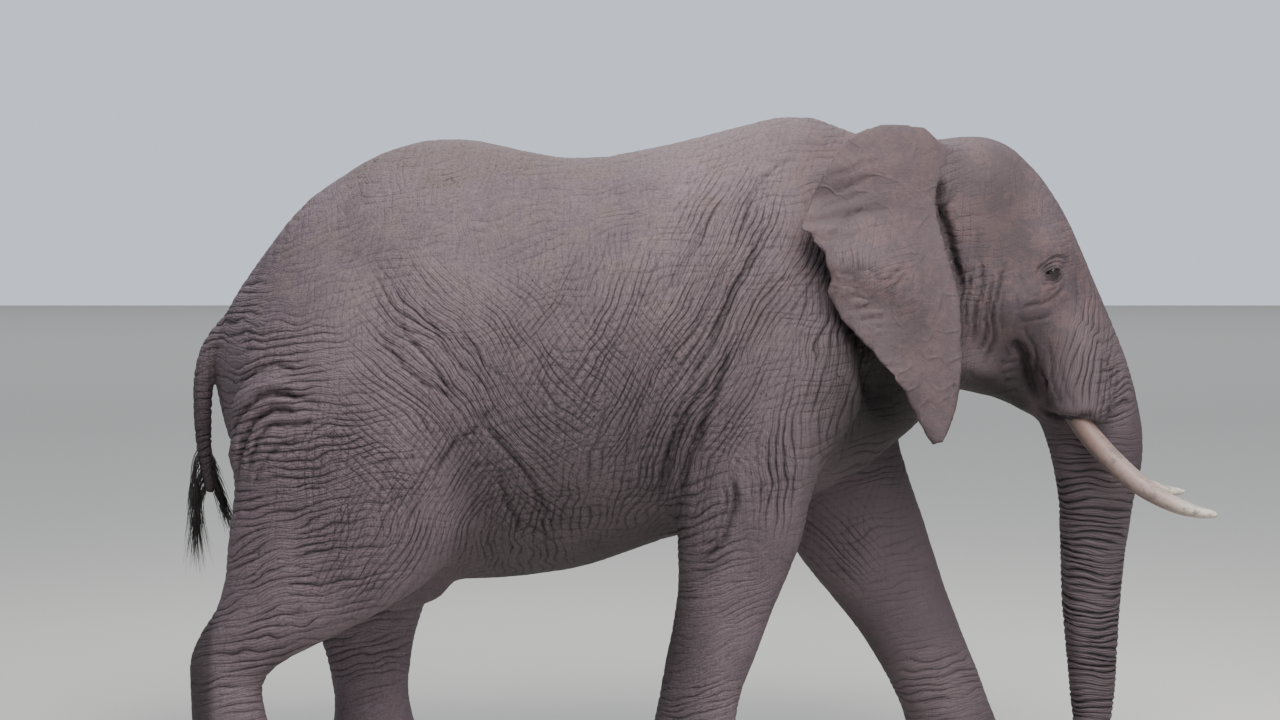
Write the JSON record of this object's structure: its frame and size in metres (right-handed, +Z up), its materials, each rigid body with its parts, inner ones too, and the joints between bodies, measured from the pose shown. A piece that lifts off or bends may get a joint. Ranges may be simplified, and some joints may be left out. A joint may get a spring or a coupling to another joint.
{
  "type": "elephant",
  "caption": "African bush elephant bull in mid stride, trunk hanging, ears folded back, tusks short and curved.",
  "frame": {"origin": "on the floor, under the middle of the model's bounding box", "axes": "+X towards the animal's front, +Y towards its left side, +Z up"},
  "size_m": [4.5766, 1.1654, 2.9907],
  "materials": {
    "skin": "dry, wrinkled hide",
    "ivory": "worn, satin",
    "horn": "worn, dull",
    "eye": "wet, glossy",
    "hair": "coarse black bristle"
  },
  "bodies": {
    "root": {"ear_left": "skin", "ear_right": "skin", "eye_left": "eye", "eye_right": "eye", "foot_front_left": "skin", "foot_front_right": "skin", "foot_hind_left": "skin", "foot_hind_right": "skin", "forearm_front_left": "skin", "forearm_front_right": "skin", "head": "skin", "lower_jaw": "skin", "nail_front_left_1": "horn", "nail_front_left_2": "horn", "nail_front_left_3": "horn", "nail_front_left_4": "horn", "nail_front_right_1": "horn", "nail_front_right_2": "horn", "nail_front_right_3": "horn", "nail_front_right_4": "horn", "nail_hind_left_1": "horn", "nail_hind_left_2": "horn", "nail_hind_left_3": "horn", "nail_hind_right_1": "horn", "nail_hind_right_2": "horn", "nail_hind_right_3": "horn", "neck": "skin", "shank_hind_left": "skin", "shank_hind_right": "skin", "tail": "skin", "tail_tuft": "hair", "thigh_hind_left": "skin", "thigh_hind_right": "skin", "torso": "skin", "trunk_lower": "skin", "trunk_middle": "skin", "trunk_upper": "skin", "tusk_left": "ivory", "tusk_right": "ivory"}
  },
  "joints": []
}
